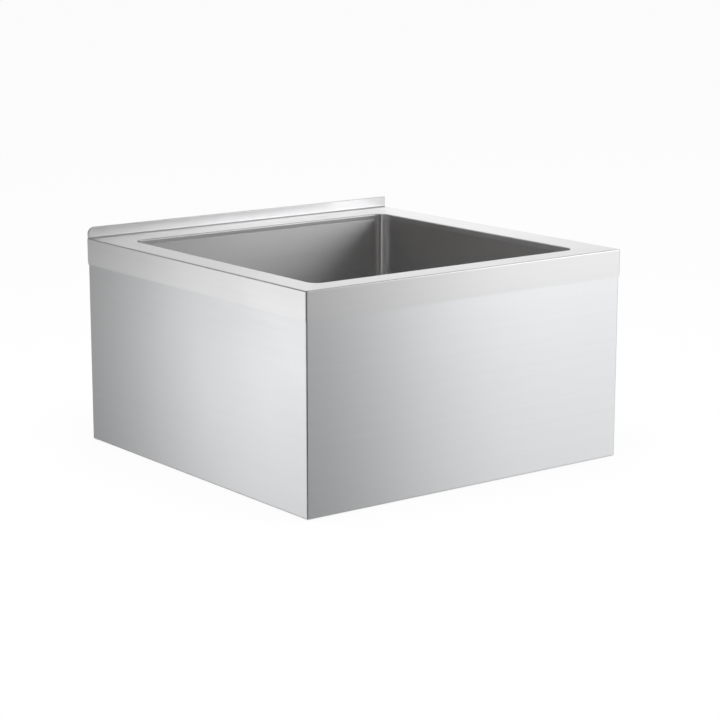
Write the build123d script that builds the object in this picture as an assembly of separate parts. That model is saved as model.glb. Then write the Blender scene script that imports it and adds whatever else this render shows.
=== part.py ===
from build123d import *

import math
import os

# Floor-standing stainless steel mop sink with a deep square bowl and a low splash.
#
# The sink is a folded deck with a turned-down skirt and a low upturn along the wall, a deep coved
# bowl welded under the deck, an apron bent round the front and both sides, a back panel, a corner
# post and a levelling foot inside each corner, and a basket strainer drain.
#
# All lengths are in millimetres. The origin is on the floor under the middle of the deck. X runs
# along the front, Y runs from the front to the wall, and Z is up.

# Overall sizes
overall_width = 736.6
overall_depth = 730.0
deck_height = 406.4

# Deck, skirt and splash
deck_sheet = 1.6
skirt_height = 52.0
skirt_bend = 2.0
skirt_corner_excess = 1.2
corner_relief_width = 1.6
corner_relief_height = 4.5
splash_height = 21.5
splash_thickness = 3.2
splash_left_corner = 14.0
splash_right_corner = 1.5
splash_top_round = 1.3
splash_cove = 3.0
opening_bend = 2.5
opening_flange = 10.0

# Bowl, measured on its water side
bowl_sheet = 1.6
bowl_left_margin = 54.5
bowl_right_margin = 70.5
bowl_front_margin = 51.5
bowl_back_margin = 82.0
bowl_depth = 305.0
bowl_corner_radius = 20.0
bowl_floor_radius = 16.0
floor_fall = 6.0
floor_border = 34.0
floor_centre_size = 132.0
drain_recess_diameter = 120.0
drain_recess_depth = 3.0
drain_hole_diameter = 89.0

# Apron and back panel
panel_sheet = 1.2
panel_bend = 3.0
panel_return = 15.0
panel_floor_gap = 2.0
return_end_gap = 0.6

# Corner posts
post_leg = 40.0
post_wall = 2.0
post_bend = 3.0

# Levelling feet
foot_plate_size = 60.0
foot_plate_wall = 3.0
foot_plate_height = 28.0
foot_plate_inner_cut = 15.0
foot_plate_bend_gap = 0.5
foot_stem_diameter = 10.0
foot_stem_tail = 23.0
foot_stem_chamfer = 1.0
foot_thread_clearance = 0.1
foot_pad_diameter = 29.0
foot_pad_neck_diameter = 18.0
foot_pad_height = 12.0
foot_pad_rim_height = 4.0
foot_pad_edge = 1.0
foot_socket_depth = 7.0
foot_socket_clearance = 0.05
foot_hex_across_flats = 14.0
foot_hex_height = 5.0
foot_nut_across_flats = 16.0
weld_nut_height = 8.0
lock_nut_height = 5.0

# Strainer body under the bowl
flange_diameter = 114.0
flange_thickness = 2.8
flange_edge = 1.0
mouth_thickness = 1.4
strainer_wall = 1.8
strainer_cup_diameter = 86.4
strainer_cup_depth = 45.0
outlet_diameter = 48.3
outlet_wall = 3.2
outlet_length = 28.0
seat_edge = 0.8
cup_thread_clearance = 0.1
gasket_width = 8.0
gasket_thickness = 3.0
washer_thickness = 1.0
locknut_diameter = 104.0
locknut_height = 10.0
locknut_lugs = 6
locknut_lug_width = 14.0
locknut_lug_length = 5.0

# Basket and stopper
basket_sheet = 0.8
basket_seat_gap = 0.35
basket_cup_diameter = 74.0
basket_rim_diameter = 100.0
basket_depth = 30.0
basket_floor_radius = 6.0
basket_slots = 16
basket_slot_width = 4.0
basket_slot_corner = 1.2
basket_plain_band = 10.6
basket_hole_diameter = 4.2
basket_first_hole_ring = 14.0
basket_hole_ring_step = 7.5
basket_hole_pitch = 10.5
stem_diameter = 6.0
stem_clearance = 0.1
clip_diameter = 15.0
clip_thickness = 0.8
clip_slot = 2.4
knob_diameter = 19.0
knob_height = 12.0
knob_waist_diameter = 11.0
knob_waist_height = 4.8
knob_round = 2.0
knob_gap = 0.6
stopper_diameter = 54.0
stopper_thickness = 4.0
stopper_edge = 1.0
stopper_gap = 0.3
rivet_diameter = 14.0
rivet_thickness = 1.6

# The tightest bend on the inside of a fold, and the most of a plate's thickness that one edge's
# rounding takes
tightest_bend = 0.3
rounding_share = 0.45

# How far a cutting tool runs past the metal that it cuts
overrun = 1.0

# Places worked out from the sizes above
deck_underside = deck_height - deck_sheet
skirt_low = deck_height - skirt_height
skirt_inside_bend = max(skirt_bend - deck_sheet, tightest_bend)
bowl_width = overall_width - bowl_left_margin - bowl_right_margin
bowl_length = overall_depth - bowl_front_margin - bowl_back_margin
bowl_middle = (bowl_front_margin - bowl_back_margin) / 2
bowl_centre = ((bowl_left_margin - bowl_right_margin) / 2, bowl_middle)
bowl_seam = deck_height - opening_flange
bowl_floor = deck_height - bowl_depth
recess_floor = bowl_floor - floor_fall - drain_recess_depth

panel_face_x = overall_width / 2 - deck_sheet
panel_face_y = overall_depth / 2 - deck_sheet
panel_inside_x = panel_face_x - panel_sheet
panel_inside_y = panel_face_y - panel_sheet
panel_inside_bend = max(panel_bend - panel_sheet, tightest_bend)
panel_high = deck_underside - skirt_inside_bend
post_low = panel_floor_gap + panel_sheet + panel_inside_bend
post_inside_bend = max(post_bend - post_wall, tightest_bend)

foot_plate_top = foot_plate_height + foot_plate_wall
foot_stem_low = foot_pad_height - foot_socket_depth + foot_socket_clearance
foot_stem_top = foot_plate_top + weld_nut_height + foot_stem_tail
foot_hex_low = foot_pad_height + foot_socket_clearance

flange_top = recess_floor + flange_thickness
cup_radius = strainer_cup_diameter / 2
cup_inner_radius = cup_radius - strainer_wall
cup_floor = flange_top - strainer_cup_depth
mouth_high = recess_floor + mouth_thickness
flange_reach = flange_diameter / 2 - flange_edge - cup_inner_radius
flange_slope = (flange_thickness - mouth_thickness) / flange_reach
outlet_inner_radius = outlet_diameter / 2 - outlet_wall
outlet_low = cup_floor - strainer_wall - outlet_length
bowl_underside = recess_floor - bowl_sheet
gasket_low = bowl_underside - gasket_thickness
washer_low = gasket_low - washer_thickness
locknut_low = washer_low - locknut_height

basket_floor = flange_top - basket_depth
stopper_low = cup_floor + stopper_gap
rivet_high = stopper_low + rivet_thickness
knob_low = basket_floor + basket_sheet + knob_gap
stem_high = knob_low + knob_height / 2

corners = {
    "front_left": (-1, -1),
    "front_right": (1, -1),
    "back_left": (-1, 1),
    "back_right": (1, 1),
}


def block(low, high):
    """A plain box between two opposite corners."""
    size = [b - a for a, b in zip(low, high)]
    middle = [(a + b) / 2 for a, b in zip(low, high)]
    return Pos(*middle) * Box(*size)


def slab(width, length, low, high, radius, centre):
    """An upright slab about an (x, y) centre, its upright edges rounded by radius."""
    outline = RectangleRounded(width, length, radius)
    return Pos(*centre, low) * extrude(outline, amount=high - low)


def drum(radius, low, high, x=0.0, y=0.0):
    """An upright cylinder between two heights."""
    return Pos(x, y, (low + high) / 2) * Cylinder(radius, high - low)


def turned(points, x=0.0, y=0.0):
    """A solid turned about the upright line at x, y from (radius, height) points."""
    outline = Polyline(*[(r, 0, z) for r, z in points], close=True)
    return Pos(x, y, 0) * revolve(make_face(outline), Axis.Z)


def hexagon(across_flats, low, high, x=0.0, y=0.0):
    """An upright hexagonal prism."""
    outline = RegularPolygon(across_flats / math.sqrt(3), 6)
    return Pos(x, y, low) * extrude(outline, amount=high - low)


def corner_box(signs, inner, outer, low, high):
    """A box in one corner of the sink, from two (x, y) offsets measured from the middle."""
    xs = sorted((signs[0] * inner[0], signs[0] * outer[0]))
    ys = sorted((signs[1] * inner[1], signs[1] * outer[1]))
    return block((xs[0], ys[0], low), (xs[1], ys[1], high))


def near(value, target):
    """True where two lengths agree to a hundredth of a millimetre."""
    return abs(value - target) < 0.01


def flat_edges(shape, height, half_x, half_y):
    """Edges that lie flat at one height inside a rectangle about the bowl's centre."""
    centre_x, centre_y = bowl_centre
    found = []
    for edge in shape.edges():
        box = edge.bounding_box()
        flat = near(box.min.Z, height) and near(box.max.Z, height)
        inside_x = max(abs(box.min.X - centre_x), abs(box.max.X - centre_x)) < half_x
        inside_y = max(abs(box.min.Y - centre_y), abs(box.max.Y - centre_y)) < half_y
        if flat and inside_x and inside_y:
            found.append(edge)
    return found


def upright_edges(shape, half_x, half_y):
    """Upright edges at the given distances from the middle, on either side."""
    return [
        e
        for e in shape.edges().filter_by(Axis.Z)
        if near(abs(e.center().X), half_x) and near(abs(e.center().Y), half_y)
    ]


def folded_shell(half_x, half_y, low, high, radius, folded_height, corner_excess=0.0):
    """A block bent along three edges at one height, its two front corners rounder by the excess."""
    shell = block((-half_x, -half_y, low), (half_x, half_y, high))
    upright = [e for e in upright_edges(shell, half_x, half_y) if e.center().Y < 0]
    if corner_excess:
        shell = fillet(upright, radius + corner_excess)
        upright = []
    level = [
        e
        for e in shell.edges()
        if near(e.center().Z, folded_height) and e.center().Y < half_y - overrun
    ]
    return fillet(upright + level, radius)


def splash_plate():
    """The double-thickness upturn along the wall, with its two top corners rounded."""
    half = overall_width / 2
    back = overall_depth / 2
    top = deck_height + splash_height
    plate = block((-half, back - splash_thickness, deck_height - skirt_bend), (half, back, top))
    for side, radius in ((-1, splash_left_corner), (1, splash_right_corner)):
        corner = [
            e
            for e in plate.edges().filter_by(Axis.Y)
            if near(e.center().Z, top) and near(e.center().X, side * half)
        ]
        plate = fillet(corner, min(radius, splash_height))
    along = [e for e in plate.edges().filter_by(Axis.X) if near(e.center().Z, top)]
    return fillet(along, min(splash_top_round, splash_thickness * rounding_share))


def splash_fold():
    """The inside bend between the deck and the splash."""
    half = overall_width / 2 - skirt_bend
    front = overall_depth / 2 - splash_thickness - splash_cove
    strip = block(
        (-half, front, deck_height - deck_sheet / 2),
        (half, overall_depth / 2 - splash_thickness / 2, deck_height + splash_cove),
    )
    axis = Pos(0, front, deck_height + splash_cove) * Rot(0, 90, 0)
    return strip - axis * Cylinder(splash_cove, overall_width)


def deck():
    """Deck, skirt, splash and the turned-down flange round the bowl opening."""
    half_x, half_y = overall_width / 2, overall_depth / 2
    excess = skirt_corner_excess
    shell = folded_shell(half_x, half_y, skirt_low, deck_height, skirt_bend, deck_height, excess)
    shell += splash_plate()
    shell += splash_fold()
    shell -= folded_shell(
        half_x - deck_sheet,
        half_y - deck_sheet,
        skirt_low - overrun,
        deck_underside,
        skirt_inside_bend,
        deck_underside,
        excess,
    )
    outer = (bowl_width + 2 * deck_sheet, bowl_length + 2 * deck_sheet)
    outer_radius = bowl_corner_radius + deck_sheet
    inside_sheet = deck_height - deck_sheet / 2
    shell += slab(*outer, bowl_seam, inside_sheet, outer_radius, bowl_centre)
    low, high = bowl_seam - overrun, deck_height + overrun
    shell -= slab(bowl_width, bowl_length, low, high, bowl_corner_radius, bowl_centre)
    reach = (outer[0] / 2 + overrun, outer[1] / 2 + overrun)
    under = flat_edges(shell, deck_underside, *reach)
    shell = fillet(under, opening_bend - deck_sheet)
    reach = ((bowl_width + deck_sheet) / 2, (bowl_length + deck_sheet) / 2)
    lip = flat_edges(shell, deck_height, *reach)
    shell = fillet(lip, opening_bend)
    slot = Box(corner_relief_width, 4 * (skirt_bend + excess), 2 * corner_relief_height)
    for sign_x, sign_y in corners.values():
        place = Pos(sign_x * half_x, sign_y * half_y, skirt_low)
        shell -= place * Rot(0, 0, -45 * sign_x * sign_y) * slot
    return shell


def bowl_volume(grow):
    """The water space of the bowl, grown outwards by a wall thickness."""
    floor = bowl_floor - grow
    width, length = bowl_width + 2 * grow, bowl_length + 2 * grow
    radius = bowl_corner_radius + grow
    volume = slab(width, length, floor, bowl_seam, radius, bowl_centre)
    foot = flat_edges(volume, floor, width / 2 + overrun, length / 2 + overrun)
    volume = fillet(foot, bowl_floor_radius + grow)
    rim = Rectangle(bowl_width - 2 * floor_border, bowl_length - 2 * floor_border)
    centre = Rectangle(floor_centre_size, floor_centre_size)
    volume += loft(
        [Pos(*bowl_centre, floor) * rim, Pos(0, bowl_middle, floor - floor_fall) * centre],
        ruled=True,
    )
    radius = drain_recess_diameter / 2 + grow
    return volume + drum(radius, recess_floor - grow, bowl_floor, y=bowl_middle)


def bowl():
    """The deep bowl: coved walls, a floor that falls to the drain, and the drain recess."""
    shell = bowl_volume(bowl_sheet) - bowl_volume(0.0)
    low, high = bowl_underside - overrun, recess_floor + overrun
    return shell - drum(drain_hole_diameter / 2, low, high, y=bowl_middle)


def apron():
    """The front and both sides in one bent sheet, with a return along the floor."""
    floor = panel_floor_gap
    shell = folded_shell(panel_face_x, panel_face_y, floor, panel_high, panel_bend, floor)
    inside = block(
        (-panel_inside_x, -panel_inside_y, floor + panel_sheet),
        (panel_inside_x, panel_face_y + overrun, panel_high + overrun),
    )
    bends = upright_edges(inside, panel_inside_x, panel_inside_y)
    bends += [
        e
        for e in inside.edges()
        if near(e.center().Z, floor + panel_sheet) and e.center().Y < panel_face_y
    ]
    shell -= fillet(bends, panel_inside_bend)
    shell -= block(
        (-panel_face_x + panel_return, -panel_face_y + panel_return, floor - overrun),
        (panel_face_x - panel_return, panel_face_y + overrun, floor + panel_bend),
    )
    end = panel_face_y - panel_return - return_end_gap
    for side in (-1, 1):
        shell -= corner_box(
            (side, 1),
            (panel_face_x - panel_return - overrun, end),
            (panel_inside_x, panel_face_y + overrun),
            floor - overrun,
            floor + panel_bend,
        )
    return shell


def back_panel():
    """The wall side, set between the ends of the apron, with returns on three edges."""
    low, high = panel_floor_gap, panel_high
    front, back = panel_face_y - panel_return, panel_face_y
    outer = block((-panel_inside_x, front, low), (panel_inside_x, back, high))
    bends = upright_edges(outer, panel_inside_x, back)
    bends += [
        e
        for e in outer.edges().filter_by(Axis.X)
        if near(e.center().Z, low) and near(e.center().Y, back)
    ]
    outer = fillet(bends, panel_bend)
    half = panel_inside_x - panel_sheet
    inner = block(
        (-half, front - overrun, low + panel_sheet), (half, panel_inside_y, high + overrun)
    )
    bends = upright_edges(inner, half, panel_inside_y)
    bends += [
        e
        for e in inner.edges().filter_by(Axis.X)
        if near(e.center().Z, low + panel_sheet) and near(e.center().Y, panel_inside_y)
    ]
    return outer - fillet(bends, panel_inside_bend)


def post_face(signs):
    """Where the outer faces of a corner's post lie, as distances from the middle."""
    behind_return = panel_sheet if signs[1] > 0 else 0.0
    return panel_inside_x - behind_return, panel_inside_y


def corner_post(signs):
    """An upright angle that ties two panels together and carries the deck."""
    outer = post_face(signs)
    leg = (outer[0] - post_leg, outer[1] - post_leg)
    post = corner_box(signs, leg, outer, post_low, deck_underside)
    post = fillet(upright_edges(post, *outer), post_bend)
    inner = (outer[0] - post_wall, outer[1] - post_wall)
    open_side = (leg[0] - overrun, leg[1] - overrun)
    hollow = corner_box(signs, open_side, inner, post_low - overrun, deck_underside + overrun)
    return post - fillet(upright_edges(hollow, *inner), post_inside_bend)


def foot_place(signs):
    """The upright line of a corner's levelling foot."""
    outer = post_face(signs)
    inset = post_wall + foot_plate_size / 2
    return signs[0] * (outer[0] - inset), signs[1] * (outer[1] - inset)


def foot_plate(signs):
    """The plate welded across the foot of a post, bored for the foot's thread."""
    x, y = foot_place(signs)
    half = foot_plate_size / 2
    low, high = foot_plate_height, foot_plate_top
    plate = block((x - half, y - half, low), (x + half, y + half, high))
    outer_edge = upright_edges(plate, abs(x) + half, abs(y) + half)
    plate = chamfer(outer_edge, post_inside_bend + foot_plate_bend_gap)
    inner_edge = upright_edges(plate, abs(x) - half, abs(y) - half)
    plate = chamfer(inner_edge, foot_plate_inner_cut)
    bore = foot_stem_diameter / 2 + foot_thread_clearance
    return plate - drum(bore, low - overrun, high + overrun, x, y)


def foot_nut(signs, low, height):
    """A hexagon nut on a levelling foot's thread."""
    x, y = foot_place(signs)
    bore = foot_stem_diameter / 2 + foot_thread_clearance
    nut = hexagon(foot_nut_across_flats, low, low + height, x, y)
    return nut - drum(bore, low - overrun, low + height + overrun, x, y)


def foot_stem(signs):
    """The threaded stem with its spanner hexagon, set into the pad."""
    x, y = foot_place(signs)
    stem = drum(foot_stem_diameter / 2, foot_stem_low, foot_stem_top, x, y)
    tip = [e for e in stem.edges() if near(e.center().Z, foot_stem_top)]
    stem = chamfer(tip, foot_stem_chamfer)
    high = foot_hex_low + foot_hex_height
    return stem + hexagon(foot_hex_across_flats, foot_hex_low, high, x, y)


def foot_pad(signs):
    """The moulded foot: a flat sole that tapers to a neck."""
    x, y = foot_place(signs)
    sole = foot_pad_diameter / 2
    pad = turned(
        (
            (0, 0),
            (sole - foot_pad_edge, 0),
            (sole, foot_pad_edge),
            (sole, foot_pad_rim_height),
            (foot_pad_neck_diameter / 2, foot_pad_height),
            (0, foot_pad_height),
        ),
        x,
        y,
    )
    socket = foot_stem_diameter / 2 + foot_socket_clearance
    low = foot_pad_height - foot_socket_depth
    return pad - drum(socket, low, foot_pad_height + overrun, x, y)


def drain_body():
    """The strainer body: flange in the recess, cup through the bowl, threaded outlet."""
    outlet = outlet_diameter / 2
    flange = flange_diameter / 2
    return turned(
        (
            (cup_inner_radius, cup_floor),
            (cup_inner_radius, mouth_high),
            (flange - flange_edge, flange_top),
            (flange, flange_top - flange_edge),
            (flange, recess_floor),
            (cup_radius, recess_floor),
            (cup_radius, cup_floor - strainer_wall),
            (outlet, cup_floor - strainer_wall),
            (outlet, outlet_low),
            (outlet_inner_radius, outlet_low),
            (outlet_inner_radius, cup_floor - seat_edge),
            (outlet_inner_radius + seat_edge, cup_floor),
        ),
        y=bowl_middle,
    )


def cup_ring(outer_radius, low, high):
    """A ring round the strainer cup under the bowl."""
    ring = drum(outer_radius, low, high, y=bowl_middle)
    bore = cup_radius + cup_thread_clearance
    return ring - drum(bore, low - overrun, high + overrun, y=bowl_middle)


def drain_gasket():
    """The rubber ring against the underside of the bowl."""
    return cup_ring(drain_hole_diameter / 2 + gasket_width, gasket_low, bowl_underside)


def drain_washer():
    """The thin ring that lets the locknut slip under the gasket."""
    return cup_ring(drain_hole_diameter / 2 + gasket_width, washer_low, gasket_low)


def ring_of(count, radius, tool):
    """Copies of a cutting tool, evenly spaced round the drain's upright line."""
    step = 360 / count
    middle = Pos(0, bowl_middle, 0)
    return [middle * Rot(0, 0, step * (i + 0.5)) * Pos(radius, 0, 0) * tool for i in range(count)]


def drain_locknut():
    """The large ring nut under the bowl, with lugs for a spanner."""
    body = locknut_diameter / 2 - locknut_lug_length
    nut = cup_ring(body, locknut_low, washer_low)
    half = locknut_lug_width / 2
    lug = block((-overrun, -half, locknut_low), (locknut_lug_length, half, washer_low))
    for placed in ring_of(locknut_lugs, body, lug):
        nut += placed
    return nut


def rim_underside(radius):
    """Height of the basket rim's underside, which follows the strainer's sloping mouth."""
    return mouth_high + basket_seat_gap + flange_slope * (radius - cup_inner_radius)


def basket_shell():
    """The basket before it is pierced: a coved cup with a sloping rim."""
    outer = basket_cup_diameter / 2
    inner = outer - basket_sheet
    rim = basket_rim_diameter / 2
    cove = basket_floor_radius
    cut = cove * (1 - math.sqrt(0.5))
    low, floor = basket_floor, basket_floor + basket_sheet
    return turned(
        (
            (0, low),
            (outer - cove, low),
            (outer - cut, low + cut),
            (outer, low + cove),
            (outer, rim_underside(outer)),
            (rim, rim_underside(rim)),
            (rim, rim_underside(rim) + basket_sheet),
            (inner, rim_underside(inner) + basket_sheet),
            (inner, low + cove),
            (inner - cut, floor + cut),
            (outer - cove, floor),
            (0, floor),
        ),
        y=bowl_middle,
    )


def basket():
    """The lift-out basket, with slots round its wall and rings of holes in its floor."""
    slot_low = basket_floor + basket_floor_radius
    slot_height = mouth_high - basket_plain_band - slot_low
    slot = Box(2 * (basket_sheet + overrun), basket_slot_width, slot_height)
    slot = fillet(slot.edges().filter_by(Axis.X), basket_slot_corner)
    slot = Pos(0, 0, slot_low + slot_height / 2) * slot
    shell = basket_shell() - ring_of(basket_slots, basket_cup_diameter / 2, slot)
    low, high = basket_floor - overrun, basket_floor + basket_sheet + overrun
    holes = [drum(stem_diameter / 2 + stem_clearance, low, high, y=bowl_middle)]
    hole = drum(basket_hole_diameter / 2, low, high)
    ring = basket_first_hole_ring
    widest = basket_cup_diameter / 2 - basket_floor_radius
    while ring + basket_hole_diameter / 2 < widest:
        holes += ring_of(int(2 * math.pi * ring / basket_hole_pitch), ring, hole)
        ring += basket_hole_ring_step
    return shell - holes


def stem_clip():
    """The spring clip under the basket that grips the stopper's stem."""
    bore = stem_diameter / 2 + stem_clearance
    low, high = basket_floor - clip_thickness, basket_floor
    clip = drum(clip_diameter / 2, low, high, y=bowl_middle)
    clip -= drum(bore, low - overrun, high + overrun, y=bowl_middle)
    half = clip_slot / 2
    return clip - block(
        (0, bowl_middle - half, low - overrun), (clip_diameter, bowl_middle + half, high + overrun)
    )


def stopper_stem():
    """The rod through the basket, riveted under the rubber and set into the knob."""
    return drum(stem_diameter / 2, rivet_high, stem_high, y=bowl_middle)


def stopper_knob():
    """The turned knob on the stem."""
    head = knob_diameter / 2
    waist = knob_waist_diameter / 2
    high = knob_low + knob_height
    neck = knob_low + knob_waist_height
    knob = turned(
        (
            (0, knob_low),
            (waist, knob_low),
            (waist, neck),
            (head - knob_round, neck + knob_round / 2),
            (head, neck + 3 * knob_round / 2),
            (head, high - knob_round),
            (head - knob_round, high),
            (0, high),
        ),
        y=bowl_middle,
    )
    return knob - drum(stem_diameter / 2, knob_low - overrun, stem_high, y=bowl_middle)


def stopper_rubber():
    """The rubber disc that closes the outlet, hollowed underneath for the rivet."""
    radius = stopper_diameter / 2
    high = stopper_low + stopper_thickness
    disc = turned(
        (
            (0, rivet_high),
            (rivet_diameter / 2 + stopper_edge, rivet_high),
            (rivet_diameter / 2 + 2 * stopper_edge, stopper_low),
            (radius - stopper_edge, stopper_low),
            (radius, stopper_low + stopper_edge),
            (radius, high - stopper_edge),
            (radius - stopper_edge, high),
            (0, high),
        ),
        y=bowl_middle,
    )
    return disc - drum(stem_diameter / 2, stopper_low, high + overrun, y=bowl_middle)


def stopper_rivet():
    """The head that holds the rubber on the stem."""
    return drum(rivet_diameter / 2, stopper_low, rivet_high, y=bowl_middle)


def parts():
    """Every sub-part by name."""
    made = {
        "deck": deck(),
        "bowl": bowl(),
        "apron": apron(),
        "back_panel": back_panel(),
        "drain_body": drain_body(),
        "drain_gasket": drain_gasket(),
        "drain_washer": drain_washer(),
        "drain_locknut": drain_locknut(),
        "basket": basket(),
        "stem_clip": stem_clip(),
        "stopper_stem": stopper_stem(),
        "stopper_knob": stopper_knob(),
        "stopper_rubber": stopper_rubber(),
        "stopper_rivet": stopper_rivet(),
    }
    lock_nut_low = foot_plate_height - lock_nut_height
    for name, signs in corners.items():
        made["corner_post_" + name] = corner_post(signs)
        made["foot_plate_" + name] = foot_plate(signs)
        made["foot_weld_nut_" + name] = foot_nut(signs, foot_plate_top, weld_nut_height)
        made["foot_lock_nut_" + name] = foot_nut(signs, lock_nut_low, lock_nut_height)
        made["foot_stem_" + name] = foot_stem(signs)
        made["foot_pad_" + name] = foot_pad(signs)
    return made


def main():
    os.makedirs("parts", exist_ok=True)
    for name, shape in parts().items():
        export_step(shape, "parts/" + name + ".step")


if __name__ == "__main__":
    main()
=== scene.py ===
import math
import bpy
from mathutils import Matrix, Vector


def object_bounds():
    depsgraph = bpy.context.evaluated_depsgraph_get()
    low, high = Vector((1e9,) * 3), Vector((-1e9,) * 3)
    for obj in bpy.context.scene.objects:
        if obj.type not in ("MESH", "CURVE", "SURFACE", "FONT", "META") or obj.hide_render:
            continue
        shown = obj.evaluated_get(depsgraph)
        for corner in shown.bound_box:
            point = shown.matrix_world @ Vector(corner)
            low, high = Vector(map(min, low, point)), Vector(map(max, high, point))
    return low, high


# Stainless floor sink for mops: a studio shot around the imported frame, all lengths in metres.

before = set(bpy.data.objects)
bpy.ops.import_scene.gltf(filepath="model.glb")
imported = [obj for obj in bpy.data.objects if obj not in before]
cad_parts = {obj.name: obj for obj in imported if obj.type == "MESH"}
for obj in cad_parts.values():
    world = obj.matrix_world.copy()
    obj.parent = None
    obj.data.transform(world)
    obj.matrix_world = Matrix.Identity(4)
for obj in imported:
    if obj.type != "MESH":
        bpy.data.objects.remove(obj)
cadLow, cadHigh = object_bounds()
bpy.ops.object.select_all(action="DESELECT")
print("frame loaded,", len(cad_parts), "nodes")

corners = ("front_left", "front_right", "back_left", "back_right")


# Small helpers for building node trees

def addNode(tree, kind, settings=None, **values):
    node = tree.nodes.new(kind)
    for name, value in (settings or {}).items():
        setattr(node, name, value)
    for name, value in values.items():
        node.inputs[name.replace("_", " ")].default_value = value
    return node


def link(tree, source, target):
    tree.links.new(source, target)


def makeGroup(name, inputs, outputs):
    group = bpy.data.node_groups.new(name, "ShaderNodeTree")
    for label, value in inputs:
        socket = group.interface.new_socket(label, in_out="INPUT", socket_type="NodeSocketFloat")
        socket.default_value = value
    for label in outputs:
        group.interface.new_socket(label, in_out="OUTPUT", socket_type="NodeSocketFloat")
    return group, group.nodes.new("NodeGroupInput"), group.nodes.new("NodeGroupOutput")


def doMath(tree, operation, first, second=None, clamp=False):
    node = addNode(tree, "ShaderNodeMath", {"operation": operation, "use_clamp": clamp})
    for index, value in enumerate((first, second)):
        if isinstance(value, (int, float)):
            node.inputs[index].default_value = value
        elif value is not None:
            link(tree, value, node.inputs[index])
    return node.outputs[0]


# Brush lines: they run level on upright faces. On flat faces they follow each side of the sink
# where Mitred is 1, or run along the front where it is 0.

brush = {
    "flatAbove": 0.7,  # a face counts as flat where its normal's height is more than this
    "fine": {"Scale": 1.0, "Detail": 4.0, "Roughness": 0.7},
    "broad": {"Scale": 0.14, "Detail": 3.0, "Roughness": 0.6},
}


def makeBrushLines():
    group, start, end = makeGroup(
        "brushLines", [("Along", 5.0), ("Across", 600.0), ("Mitred", 0.0)], ["Fine", "Broad"]
    )
    place = addNode(group, "ShaderNodeTexCoord")
    split = addNode(group, "ShaderNodeSeparateXYZ")
    link(group, place.outputs["Object"], split.inputs[0])
    facing = addNode(group, "ShaderNodeSeparateXYZ")
    shape = addNode(group, "ShaderNodeNewGeometry")
    link(group, shape.outputs["Normal"], facing.inputs[0])
    level = doMath(group, "GREATER_THAN", doMath(group, "ABSOLUTE", facing.outputs[2]), brush["flatAbove"])
    farX = doMath(group, "ABSOLUTE", split.outputs[0])
    farY = doMath(group, "ABSOLUTE", split.outputs[1])
    sideStrip = doMath(group, "GREATER_THAN", farX, farY)
    sideStrip = doMath(group, "MULTIPLY", sideStrip, start.outputs["Mitred"])
    alongX, alongY = doMath(group, "SUBTRACT", 1.0, sideStrip), sideStrip
    step = doMath(group, "SUBTRACT", start.outputs["Across"], start.outputs["Along"])
    # each axis is stretched by Along, plus the rest of Across where the lines cross it
    crossX = doMath(group, "MULTIPLY", level, alongY)
    crossY = doMath(group, "MULTIPLY", level, alongX)
    scaled = addNode(group, "ShaderNodeCombineXYZ")
    for index, cross in enumerate((crossX, crossY, doMath(group, "SUBTRACT", 1.0, level))):
        scale = doMath(group, "ADD", doMath(group, "MULTIPLY", cross, step), start.outputs["Along"])
        link(group, doMath(group, "MULTIPLY", split.outputs[index], scale), scaled.inputs[index])
    for label in ("Fine", "Broad"):
        noise = addNode(group, "ShaderNodeTexNoise", **brush[label.lower()])
        link(group, scaled.outputs[0], noise.inputs["Vector"])
        link(group, noise.outputs["Fac"], end.inputs[label])
    return group


# Handling: soft wiping marks, and a few small dull spots from water

marks = {
    "warp": {"Scale": 2.5, "Detail": 2.0}, "warpShare": 0.12,
    "wipe": {"Detail": 5.0, "Roughness": 0.55},
    "dropScale": 38.0, "dropRim": 0.16, "dropHeart": 0.05,
    "dropsAbove": 0.62,  # drops lie only where the wiping is stronger than this
}


def makeHandling():
    group, start, end = makeGroup("handling", [("Size", 4.0), ("Spots", 0.5)], ["Wiped", "Spotted"])
    place = addNode(group, "ShaderNodeTexCoord")
    warp = addNode(group, "ShaderNodeTexNoise", **marks["warp"])
    link(group, place.outputs["Object"], warp.inputs["Vector"])
    bent = addNode(group, "ShaderNodeMix", {"data_type": "RGBA"}, Factor=marks["warpShare"])
    link(group, place.outputs["Object"], bent.inputs["A"])
    link(group, warp.outputs["Color"], bent.inputs["B"])
    wipe = addNode(group, "ShaderNodeTexNoise", **marks["wipe"])
    link(group, bent.outputs["Result"], wipe.inputs["Vector"])
    link(group, start.outputs["Size"], wipe.inputs["Scale"])
    link(group, wipe.outputs["Fac"], end.inputs["Wiped"])
    drops = addNode(group, "ShaderNodeTexVoronoi", Scale=marks["dropScale"])
    link(group, place.outputs["Object"], drops.inputs["Vector"])
    ring = addNode(group, "ShaderNodeMapRange", From_Min=marks["dropRim"], From_Max=marks["dropHeart"])
    link(group, drops.outputs["Distance"], ring.inputs["Value"])
    some = doMath(group, "GREATER_THAN", wipe.outputs["Fac"], marks["dropsAbove"])
    spotted = doMath(group, "MULTIPLY", ring.outputs["Result"], some)
    link(group, doMath(group, "MULTIPLY", spotted, start.outputs["Spots"]), end.inputs["Spotted"])
    return group


brushLines = makeBrushLines()
handling = makeHandling()
print("shared finishes made")


# Steels. Brushed is how far the polish has a grain, along and across are the brush lines' scale
# with and across the grain, and tangent says which way the grain runs.

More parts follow.
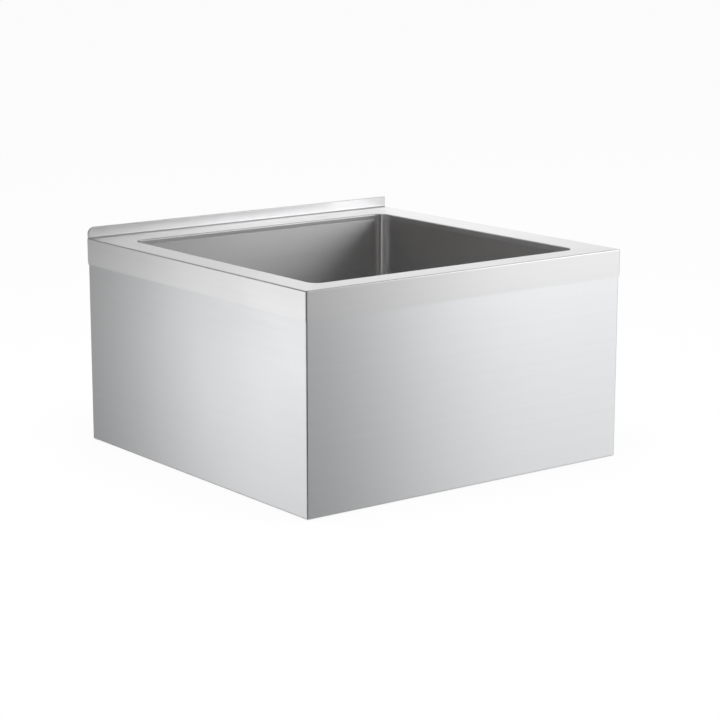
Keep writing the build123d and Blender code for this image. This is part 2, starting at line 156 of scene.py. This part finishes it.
steels = {
    "deckSteel": {
        "colour": (0.83, 0.83, 0.835), "dull": (0.74, 0.74, 0.75), "roughness": 0.30, "brushed": 0.5,
        "mitred": 1.0, "along": 5.0, "across": 900.0, "lineRoughness": 0.06, "lineDepth": 0.02,
        "wiping": 0.07, "spots": 0.2, "tangent": "mitred",
    },
    "bowlSteel": {
        "colour": (0.75, 0.75, 0.755), "dull": (0.65, 0.645, 0.64), "roughness": 0.38, "brushed": 0.94,
        "mitred": 0.0, "along": 5.0, "across": 900.0, "lineRoughness": 0.06, "lineDepth": 0.02,
        "wiping": 0.06, "spots": 0.3, "tangent": "level",
    },
    "panelSteel": {
        "colour": (0.811, 0.818, 0.829), "dull": (0.74, 0.746, 0.756), "roughness": 0.30, "brushed": 0.75,
        "mitred": 0.0, "along": 4.0, "across": 900.0, "lineRoughness": 0.08, "lineDepth": 0.03,
        "wiping": 0.05, "spots": 0.15, "tangent": "upright",
    },
    "frameSteel": {
        "colour": (0.60, 0.60, 0.60), "dull": (0.45, 0.45, 0.45), "roughness": 0.42, "brushed": 0.2,
        "mitred": 0.0, "along": 20.0, "across": 400.0, "lineRoughness": 0.15, "lineDepth": 0.10,
        "wiping": 0.15, "spots": 0.5, "tangent": "upright",
    },
    "footSteel": {
        "colour": (0.62, 0.63, 0.62), "dull": (0.45, 0.46, 0.44), "roughness": 0.38, "brushed": 0.0,
        "mitred": 0.0, "along": 200.0, "across": 900.0, "lineRoughness": 0.12, "lineDepth": 0.08,
        "wiping": 0.15, "spots": 0.5, "tangent": "upright",
    },
    "drainSteel": {
        "colour": (0.78, 0.78, 0.78), "dull": (0.62, 0.62, 0.62), "roughness": 0.22, "brushed": 0.4,
        "mitred": 0.0, "along": 60.0, "across": 900.0, "lineRoughness": 0.12, "lineDepth": 0.06,
        "wiping": 0.12, "spots": 0.6, "tangent": "turned",
    },
    "basketSteel": {
        "colour": (0.80, 0.80, 0.80), "dull": (0.66, 0.66, 0.66), "roughness": 0.20, "brushed": 0.3,
        "mitred": 0.0, "along": 120.0, "across": 900.0, "lineRoughness": 0.10, "lineDepth": 0.05,
        "wiping": 0.12, "spots": 0.6, "tangent": "turned",
    },
    "knobChrome": {
        "colour": (0.86, 0.86, 0.87), "dull": (0.72, 0.72, 0.73), "roughness": 0.08, "brushed": 0.0,
        "mitred": 0.0, "along": 120.0, "across": 600.0, "lineRoughness": 0.03, "lineDepth": 0.02,
        "wiping": 0.06, "spots": 0.6, "tangent": "turned",
    },
    "locknutBrass": {
        "colour": (0.66, 0.50, 0.24), "dull": (0.42, 0.31, 0.15), "roughness": 0.38, "brushed": 0.0,
        "mitred": 0.0, "along": 150.0, "across": 500.0, "lineRoughness": 0.15, "lineDepth": 0.15,
        "wiping": 0.2, "spots": 0.6, "tangent": "turned",
    },
}


# The polish spreads reflections across the brush lines, so the shader's tangent crosses them

steelDetail = {
    "crossLean": 0.1,  # keeps the tangent from vanishing on flat faces
    "markSize": 4.0, "lineHeight": 0.0003, "middle": 0.5,
}


def crossBrush(tree, way):
    if way == "turned":
        return addNode(tree, "ShaderNodeTangent", {"direction_type": "RADIAL", "axis": "Z"}).outputs[0]
    lean = steelDetail["crossLean"]
    cross = addNode(tree, "ShaderNodeCombineXYZ", X=0.0, Y=lean, Z=1.0)
    if way == "mitred":
        place = addNode(tree, "ShaderNodeTexCoord")
        split = addNode(tree, "ShaderNodeSeparateXYZ")
        link(tree, place.outputs["Object"], split.inputs[0])
        farX = doMath(tree, "ABSOLUTE", split.outputs[0])
        farY = doMath(tree, "ABSOLUTE", split.outputs[1])
        side = doMath(tree, "GREATER_THAN", farX, farY)
        link(tree, doMath(tree, "MULTIPLY", side, lean), cross.inputs["X"])
        away = doMath(tree, "SUBTRACT", 1.0, side)
        link(tree, doMath(tree, "MULTIPLY", away, lean), cross.inputs["Y"])
    return cross.outputs[0]


def makeSteel(name, look):
    material = bpy.data.materials.new(name)
    material.use_nodes = True
    tree = material.node_tree
    shader = tree.nodes["Principled BSDF"]
    shader.inputs["Metallic"].default_value = 1.0
    shader.inputs["Anisotropic"].default_value = look["brushed"]
    lines = addNode(tree, "ShaderNodeGroup", {"node_tree": brushLines},
                    Along=look["along"], Across=look["across"], Mitred=look["mitred"])
    worn = addNode(tree, "ShaderNodeGroup", {"node_tree": handling},
                   Size=steelDetail["markSize"], Spots=look["spots"])
    colour = addNode(tree, "ShaderNodeMix", {"data_type": "RGBA"})
    colour.inputs["A"].default_value = (*look["colour"], 1)
    colour.inputs["B"].default_value = (*look["dull"], 1)
    streaks = doMath(tree, "MULTIPLY", lines.outputs["Broad"], worn.outputs["Wiped"])
    shade = doMath(tree, "ADD", streaks, worn.outputs["Spotted"], clamp=True)
    link(tree, shade, colour.inputs["Factor"])
    link(tree, colour.outputs["Result"], shader.inputs["Base Color"])
    gloss = doMath(tree, "SUBTRACT", lines.outputs["Fine"], steelDetail["middle"])
    gloss = doMath(tree, "MULTIPLY", gloss, look["lineRoughness"])
    gloss = doMath(tree, "ADD", gloss, look["roughness"])
    wiping = doMath(tree, "SUBTRACT", worn.outputs["Wiped"], steelDetail["middle"])
    wiping = doMath(tree, "MULTIPLY", wiping, look["wiping"])
    gloss = doMath(tree, "ADD", gloss, wiping, clamp=True)
    link(tree, gloss, shader.inputs["Roughness"])
    bump = addNode(tree, "ShaderNodeBump", Strength=look["lineDepth"], Distance=steelDetail["lineHeight"])
    link(tree, lines.outputs["Fine"], bump.inputs["Height"])
    link(tree, bump.outputs["Normal"], shader.inputs["Normal"])
    link(tree, crossBrush(tree, look["tangent"]), shader.inputs["Tangent"])
    return material


# Plastic, rubber and fibre, with a fine grain

moulded = {
    "footPlastic": {
        "colour": (0.030, 0.030, 0.031), "worn": (0.07, 0.07, 0.07), "roughness": 0.55, "grain": 900.0,
    },
    "stopperRubber": {
        "colour": (0.018, 0.018, 0.018), "worn": (0.05, 0.05, 0.048), "roughness": 0.62, "grain": 500.0,
    },
    "gasketRubber": {
        "colour": (0.022, 0.022, 0.022), "worn": (0.06, 0.06, 0.058), "roughness": 0.70, "grain": 400.0,
    },
    "washerFibre": {
        "colour": (0.24, 0.13, 0.07), "worn": (0.36, 0.22, 0.13), "roughness": 0.75, "grain": 700.0,
    },
}
mouldedDetail = {
    "grainDetail": 3.0, "markSize": 30.0, "spots": 0.4, "wiping": 0.15, "wipingMiddle": 0.07,
    "grainDepth": 0.25, "grainHeight": 0.0002,
}


def makeMoulded(name, look):
    material = bpy.data.materials.new(name)
    material.use_nodes = True
    tree = material.node_tree
    shader = tree.nodes["Principled BSDF"]
    place = addNode(tree, "ShaderNodeTexCoord")
    grain = addNode(tree, "ShaderNodeTexNoise", Scale=look["grain"], Detail=mouldedDetail["grainDetail"])
    link(tree, place.outputs["Object"], grain.inputs["Vector"])
    handled = addNode(tree, "ShaderNodeGroup", {"node_tree": handling},
                      Size=mouldedDetail["markSize"], Spots=mouldedDetail["spots"])
    colour = addNode(tree, "ShaderNodeMix", {"data_type": "RGBA"})
    colour.inputs["A"].default_value = (*look["colour"], 1)
    colour.inputs["B"].default_value = (*look["worn"], 1)
    worn = doMath(tree, "MULTIPLY", handled.outputs["Wiped"], grain.outputs["Fac"])
    link(tree, doMath(tree, "ADD", worn, handled.outputs["Spotted"], clamp=True), colour.inputs["Factor"])
    link(tree, colour.outputs["Result"], shader.inputs["Base Color"])
    dull = doMath(tree, "MULTIPLY", handled.outputs["Wiped"], mouldedDetail["wiping"])
    plain = look["roughness"] - mouldedDetail["wipingMiddle"]
    link(tree, doMath(tree, "ADD", dull, plain), shader.inputs["Roughness"])
    bump = addNode(tree, "ShaderNodeBump", Strength=mouldedDetail["grainDepth"],
                   Distance=mouldedDetail["grainHeight"])
    link(tree, grain.outputs["Fac"], bump.inputs["Height"])
    link(tree, bump.outputs["Normal"], shader.inputs["Normal"])
    return material


materials = {name: makeSteel(name, look) for name, look in steels.items()}
materials.update({name: makeMoulded(name, look) for name, look in moulded.items()})

finishes = {
    "deck": "deckSteel", "bowl": "bowlSteel", "apron": "panelSteel", "back_panel": "panelSteel",
    "drain_body": "drainSteel", "drain_gasket": "gasketRubber", "drain_washer": "washerFibre",
    "drain_locknut": "locknutBrass", "basket": "basketSteel", "stem_clip": "basketSteel",
    "stopper_stem": "basketSteel", "stopper_knob": "knobChrome", "stopper_rubber": "stopperRubber",
    "stopper_rivet": "basketSteel",
}
cornerFinishes = {
    "corner_post_": "frameSteel", "foot_plate_": "frameSteel", "foot_weld_nut_": "footSteel",
    "foot_lock_nut_": "footSteel", "foot_stem_": "footSteel", "foot_pad_": "footPlastic",
}
for start, finish in cornerFinishes.items():
    for corner in corners:
        finishes[start + corner] = finish
for node, finish in finishes.items():
    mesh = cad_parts[node].data
    mesh.materials.clear()
    mesh.materials.append(materials[finish])
print("finishes on", len(finishes), "nodes")


# Camera, set where the photograph was taken from

shot = {
    "place": (-2.4681, -3.2711, 1.0587), "turn": -37.31, "tilt": 12.145, "lens": 107.5, "sensor": 36,
    "farthest": 50,
}


def addCamera():
    bpy.ops.object.camera_add(location=shot["place"])
    camera = bpy.context.object
    camera.name = "camera"
    camera.rotation_euler = (math.radians(90 - shot["tilt"]), 0, math.radians(shot["turn"]))
    camera.data.lens = shot["lens"]
    camera.data.sensor_width = shot["sensor"]
    camera.data.clip_end = shot["farthest"]
    bpy.context.scene.camera = camera


# The studio. The steel mirrors glowing cards, as in a shoot of polished goods, and a dim room
# elsewhere. Each card glows along its length by "steps" (place along it, glow), and varies in
# height by "rise" (height, share of the glow).

cards = {
    "leftCard": {
        "side": "x", "at": -1.6, "span": (0.1, 3.8), "height": (-2.6, 0.5),
        "steps": (
            (0.1, 0.30), (0.7, 0.95), (1.3, 1.26), (1.7, 1.26), (1.95, 1.00), (2.2, 0.56), (2.5, 0.28),
            (3.8, 0.16),
        ),
        "rise": ((-2.6, 0.10), (-1.0, 0.42), (-0.6, 0.72), (-0.15, 1.12), (0.15, 1.10), (0.5, 0.0)),
    },
    "rightCard": {
        "side": "x", "at": 1.6, "span": (-4.0, -1.0), "height": (-2.6, 2.2),
        "steps": (
            (-4.0, 0.22), (-3.2, 0.32), (-2.9, 0.40), (-2.55, 0.72), (-2.2, 1.08), (-1.95, 1.04),
            (-1.65, 0.94), (-1.4, 1.08), (-1.15, 1.08), (-1.0, 0.3),
        ),
        "rise": (
            (-2.6, 0.10), (-0.95, 0.72), (-0.3, 0.98), (0.3, 0.98), (0.75, 2.3), (1.4, 2.3), (2.1, 0.2),
        ),
    },
    "backCard": {
        "side": "y", "at": 2.6, "span": (0.2, 6.5), "height": (0.0, 2.4),
        "steps": (
            (0.2, 0.26), (0.7, 0.50), (1.0, 0.70), (1.3, 0.82), (1.75, 1.12), (2.1, 1.20), (2.6, 1.20),
            (6.5, 1.1),
        ),
        "rise": ((0.0, 1.0), (1.5, 1.0), (2.4, 0.3)),
    },
    "rightHighCard": {
        "side": "x", "at": 1.6, "span": (-1.3, 0.1), "height": (1.9, 3.4),
        "steps": ((-1.3, 0.35), (-0.8, 0.45), (-0.5, 0.80), (-0.1, 0.80), (0.1, 0.30)),
        "rise": ((1.9, 0.6), (2.2, 1.0), (3.4, 1.0)),
    },
    "backHighCard": {
        "side": "y", "at": 2.6, "span": (-1.4, -0.75), "height": (1.7, 3.2),
        "steps": ((-1.4, 1.0), (-0.75, 1.0)),
        "rise": ((1.7, 0.6), (2.0, 1.0), (3.2, 1.0)),
    },
    "leftStrip": {
        "side": "x", "at": -1.6, "span": (-0.76, -0.6), "height": (0.5, 2.2),
        "steps": ((-0.76, 2.0), (-0.6, 2.0)),
        "rise": ((0.5, 2.0), (2.2, 2.0)),
    },
}
brightest = 4.0  # a ramp holds no colour above 1, so a glow is stored as its share of this

# a dark card by the near corner draws its bend as a dark line, as the photograph has it
cornerFlag = {
    "away": (-0.605, -0.796), "ahead": 0.12, "width": 0.18, "height": (-0.25, 0.60), "glow": 0.06,
}

# Gloss sees the room by the height of its direction, -1 straight down and 1 straight up, and a
# darker shade on three sides: (turn from +X in degrees, full within, none past). All else is lit
# by the plain fill.
room = {
    "fill": (0.70, 0.70, 0.70),
    "heights": (
        (-1.0, (0.62, 0.62, 0.62)), (-0.12, (0.62, 0.62, 0.62)), (0.02, (0.26, 0.255, 0.25)),
        (0.85, (0.26, 0.255, 0.25)), (0.96, (0.50, 0.50, 0.50)), (1.0, (0.65, 0.65, 0.65)),
    ),
    "shade": (0.070, 0.060, 0.055), "shadeHeights": ((-0.22, 0), (-0.08, 1), (0.88, 1), (0.96, 0)),
    "shadeSides": ((131.0, 9.0, 27.0), (-127.0, 7.0, 21.0), (-53.0, 12.0, 30.0)),
}

floorLook = {"size": 70.0, "paint": (0.90, 0.90, 0.90), "roughness": 0.9, "whiteShare": 0.92}
overheadLamp = {"place": (-0.4, -0.6, 3.0), "aim": (0.13, 0.2, -1), "size": (2.4, 2.4), "power": 60.0}


def rampOf(tree, value, low, high, steps):
    span = addNode(tree, "ShaderNodeMapRange", From_Min=low, From_Max=high)
    link(tree, value, span.inputs["Value"])
    ramp = addNode(tree, "ShaderNodeValToRGB")
    ramp.color_ramp.interpolation = "EASE"
    stops = ramp.color_ramp.elements
    for index, (place, glow) in enumerate(steps):
        spot = (place - low) / (high - low)
        stop = stops[index] if index < 2 else stops.new(spot)
        stop.position = spot
        share = glow / brightest
        stop.color = (share, share, share, 1)
    link(tree, span.outputs["Result"], ramp.inputs["Fac"])
    return doMath(tree, "MULTIPLY", ramp.outputs["Color"], brightest)


def addCard(name, card):
    low, high = card["span"]
    foot, head = card["height"]
    middle, away = (low + high) / 2, card["at"]
    place = (away, middle, (foot + head) / 2) if card["side"] == "x" else (middle, away, (foot + head) / 2)
    bpy.ops.mesh.primitive_plane_add(size=1, location=place)
    plane = bpy.context.object
    plane.name = name
    turn = (0, math.radians(90), 0) if card["side"] == "x" else (math.radians(90), 0, 0)
    plane.rotation_euler = turn
    plane.scale = (head - foot, high - low, 1) if card["side"] == "x" else (high - low, head - foot, 1)
    bpy.ops.object.transform_apply(location=True, rotation=True, scale=True)
    material = bpy.data.materials.new(name + "Glow")
    material.use_nodes = True
    tree = material.node_tree
    tree.nodes.remove(tree.nodes["Principled BSDF"])
    where = addNode(tree, "ShaderNodeTexCoord")
    split = addNode(tree, "ShaderNodeSeparateXYZ")
    link(tree, where.outputs["Object"], split.inputs[0])
    along = rampOf(tree, split.outputs[1 if card["side"] == "x" else 0], low, high, card["steps"])
    rise = rampOf(tree, split.outputs[2], foot, head, card["rise"])
    glow = addNode(tree, "ShaderNodeEmission")
    link(tree, doMath(tree, "MULTIPLY", along, rise), glow.inputs["Strength"])
    link(tree, glow.outputs[0], tree.nodes["Material Output"].inputs["Surface"])
    plane.data.materials.append(material)
    hideFromAllButGloss(plane)


def addCornerFlag():
    awayX, awayY = cornerFlag["away"]
    low, high = cornerFlag["height"]
    cornerX, cornerY = cadLow[0], cadLow[1]
    place = (cornerX + awayX * cornerFlag["ahead"], cornerY + awayY * cornerFlag["ahead"], (low + high) / 2)
    bpy.ops.mesh.primitive_plane_add(size=1, location=place)
    flag = bpy.context.object
    flag.name = "cornerFlag"
    flag.rotation_euler = (math.radians(90), 0, math.atan2(awayY, awayX) + math.radians(90))
    flag.scale = (cornerFlag["width"], high - low, 1)
    bpy.ops.object.transform_apply(location=True, rotation=True, scale=True)
    material = bpy.data.materials.new("flagCloth")
    material.use_nodes = True
    tree = material.node_tree
    tree.nodes.remove(tree.nodes["Principled BSDF"])
    glow = addNode(tree, "ShaderNodeEmission", Strength=cornerFlag["glow"])
    link(tree, glow.outputs[0], tree.nodes["Material Output"].inputs["Surface"])
    flag.data.materials.append(material)
    hideFromAllButGloss(flag)


def hideFromAllButGloss(plane):
    plane.visible_camera = False
    plane.visible_diffuse = False
    plane.visible_transmission = False
    plane.visible_shadow = False


def addLamp():
    bpy.ops.object.light_add(type="AREA", location=overheadLamp["place"])
    lamp = bpy.context.object
    lamp.name = "overheadLamp"
    lamp.rotation_euler = Vector(overheadLamp["aim"]).to_track_quat("-Z", "Y").to_euler()
    lamp.data.shape = "RECTANGLE"
    lamp.data.size, lamp.data.size_y = overheadLamp["size"]
    lamp.data.energy = overheadLamp["power"]
    lamp.visible_camera = False
    lamp.visible_glossy = False


def addFloor():
    bpy.ops.mesh.primitive_plane_add(size=floorLook["size"])
    floor = bpy.context.object
    floor.name = "floor"
    material = bpy.data.materials.new("floorPaint")
    material.use_nodes = True
    tree = material.node_tree
    paint = tree.nodes["Principled BSDF"]
    paint.inputs["Base Color"].default_value = (*floorLook["paint"], 1)
    paint.inputs["Roughness"].default_value = floorLook["roughness"]
    white = addNode(tree, "ShaderNodeEmission", Strength=1.0)
    ray = addNode(tree, "ShaderNodeLightPath")
    share = doMath(tree, "MULTIPLY", ray.outputs["Is Camera Ray"], floorLook["whiteShare"])
    mix = addNode(tree, "ShaderNodeMixShader")
    link(tree, share, mix.inputs[0])
    link(tree, paint.outputs[0], mix.inputs[1])
    link(tree, white.outputs[0], mix.inputs[2])
    link(tree, mix.outputs[0], tree.nodes["Material Output"].inputs["Surface"])
    floor.data.materials.append(material)
    floor.visible_glossy = False


def sideShade(tree, flatWay, side, inner, outer):
    # full within "inner" degrees of a side of the room, none past "outer"
    towards = addNode(tree, "ShaderNodeVectorMath", {"operation": "DOT_PRODUCT"})
    towards.inputs[1].default_value = (math.cos(math.radians(side)), math.sin(math.radians(side)), 0)
    link(tree, flatWay, towards.inputs[0])
    fade = addNode(tree, "ShaderNodeMapRange", {"interpolation_type": "SMOOTHSTEP"},
                   From_Min=math.cos(math.radians(outer)), From_Max=math.cos(math.radians(inner)))
    link(tree, towards.outputs["Value"], fade.inputs["Value"])
    return fade.outputs["Result"]


def setWorld():
    world = bpy.data.worlds.new("studioRoom")
    bpy.context.scene.world = world
    world.use_nodes = True
    tree = world.node_tree
    way = addNode(tree, "ShaderNodeTexCoord")
    split = addNode(tree, "ShaderNodeSeparateXYZ")
    link(tree, way.outputs["Generated"], split.inputs[0])
    span = addNode(tree, "ShaderNodeMapRange", From_Min=-1.0, From_Max=1.0)
    link(tree, split.outputs[2], span.inputs["Value"])
    heights = addNode(tree, "ShaderNodeValToRGB")
    stops = heights.color_ramp.elements
    for index, (height, glow) in enumerate(room["heights"]):
        stop = stops[index] if index < 2 else stops.new((height + 1) / 2)
        stop.position = (height + 1) / 2
        stop.color = (*glow, 1)
    link(tree, span.outputs["Result"], heights.inputs["Fac"])
    flat = addNode(tree, "ShaderNodeCombineXYZ")
    link(tree, split.outputs[0], flat.inputs[0])
    link(tree, split.outputs[1], flat.inputs[1])
    flatWay = addNode(tree, "ShaderNodeVectorMath", {"operation": "NORMALIZE"})
    link(tree, flat.outputs[0], flatWay.inputs[0])
    shaded = 0.0
    for side in room["shadeSides"]:
        shaded = doMath(tree, "MAXIMUM", sideShade(tree, flatWay.outputs[0], *side), shaded)
    mask = rampOf(tree, split.outputs[2], -1.0, 1.0, ((-1.0, 0),) + room["shadeHeights"])
    shaded = doMath(tree, "MULTIPLY", shaded, mask)
    shadeMix = addNode(tree, "ShaderNodeMix", {"data_type": "RGBA"})
    shadeMix.inputs["B"].default_value = (*room["shade"], 1)
    link(tree, heights.outputs["Color"], shadeMix.inputs["A"])
    link(tree, shaded, shadeMix.inputs["Factor"])
    ray = addNode(tree, "ShaderNodeLightPath")
    plain = addNode(tree, "ShaderNodeMix", {"data_type": "RGBA"})
    plain.inputs["A"].default_value = (*room["fill"], 1)
    link(tree, shadeMix.outputs["Result"], plain.inputs["B"])
    link(tree, ray.outputs["Is Glossy Ray"], plain.inputs["Factor"])
    sky = tree.nodes["Background"]
    link(tree, plain.outputs["Result"], sky.inputs["Color"])
    white = addNode(tree, "ShaderNodeBackground", Color=(1.0, 1.0, 1.0, 1.0), Strength=1.0)
    mix = addNode(tree, "ShaderNodeMixShader")
    link(tree, ray.outputs["Is Camera Ray"], mix.inputs[0])
    link(tree, sky.outputs[0], mix.inputs[1])
    link(tree, white.outputs[0], mix.inputs[2])
    link(tree, mix.outputs[0], tree.nodes["World Output"].inputs["Surface"])


addCamera()
addFloor()
setWorld()
for name, card in cards.items():
    addCard(name, card)
addCornerFlag()
addLamp()
bpy.context.scene.view_settings.view_transform = "Standard"
print("studio set")
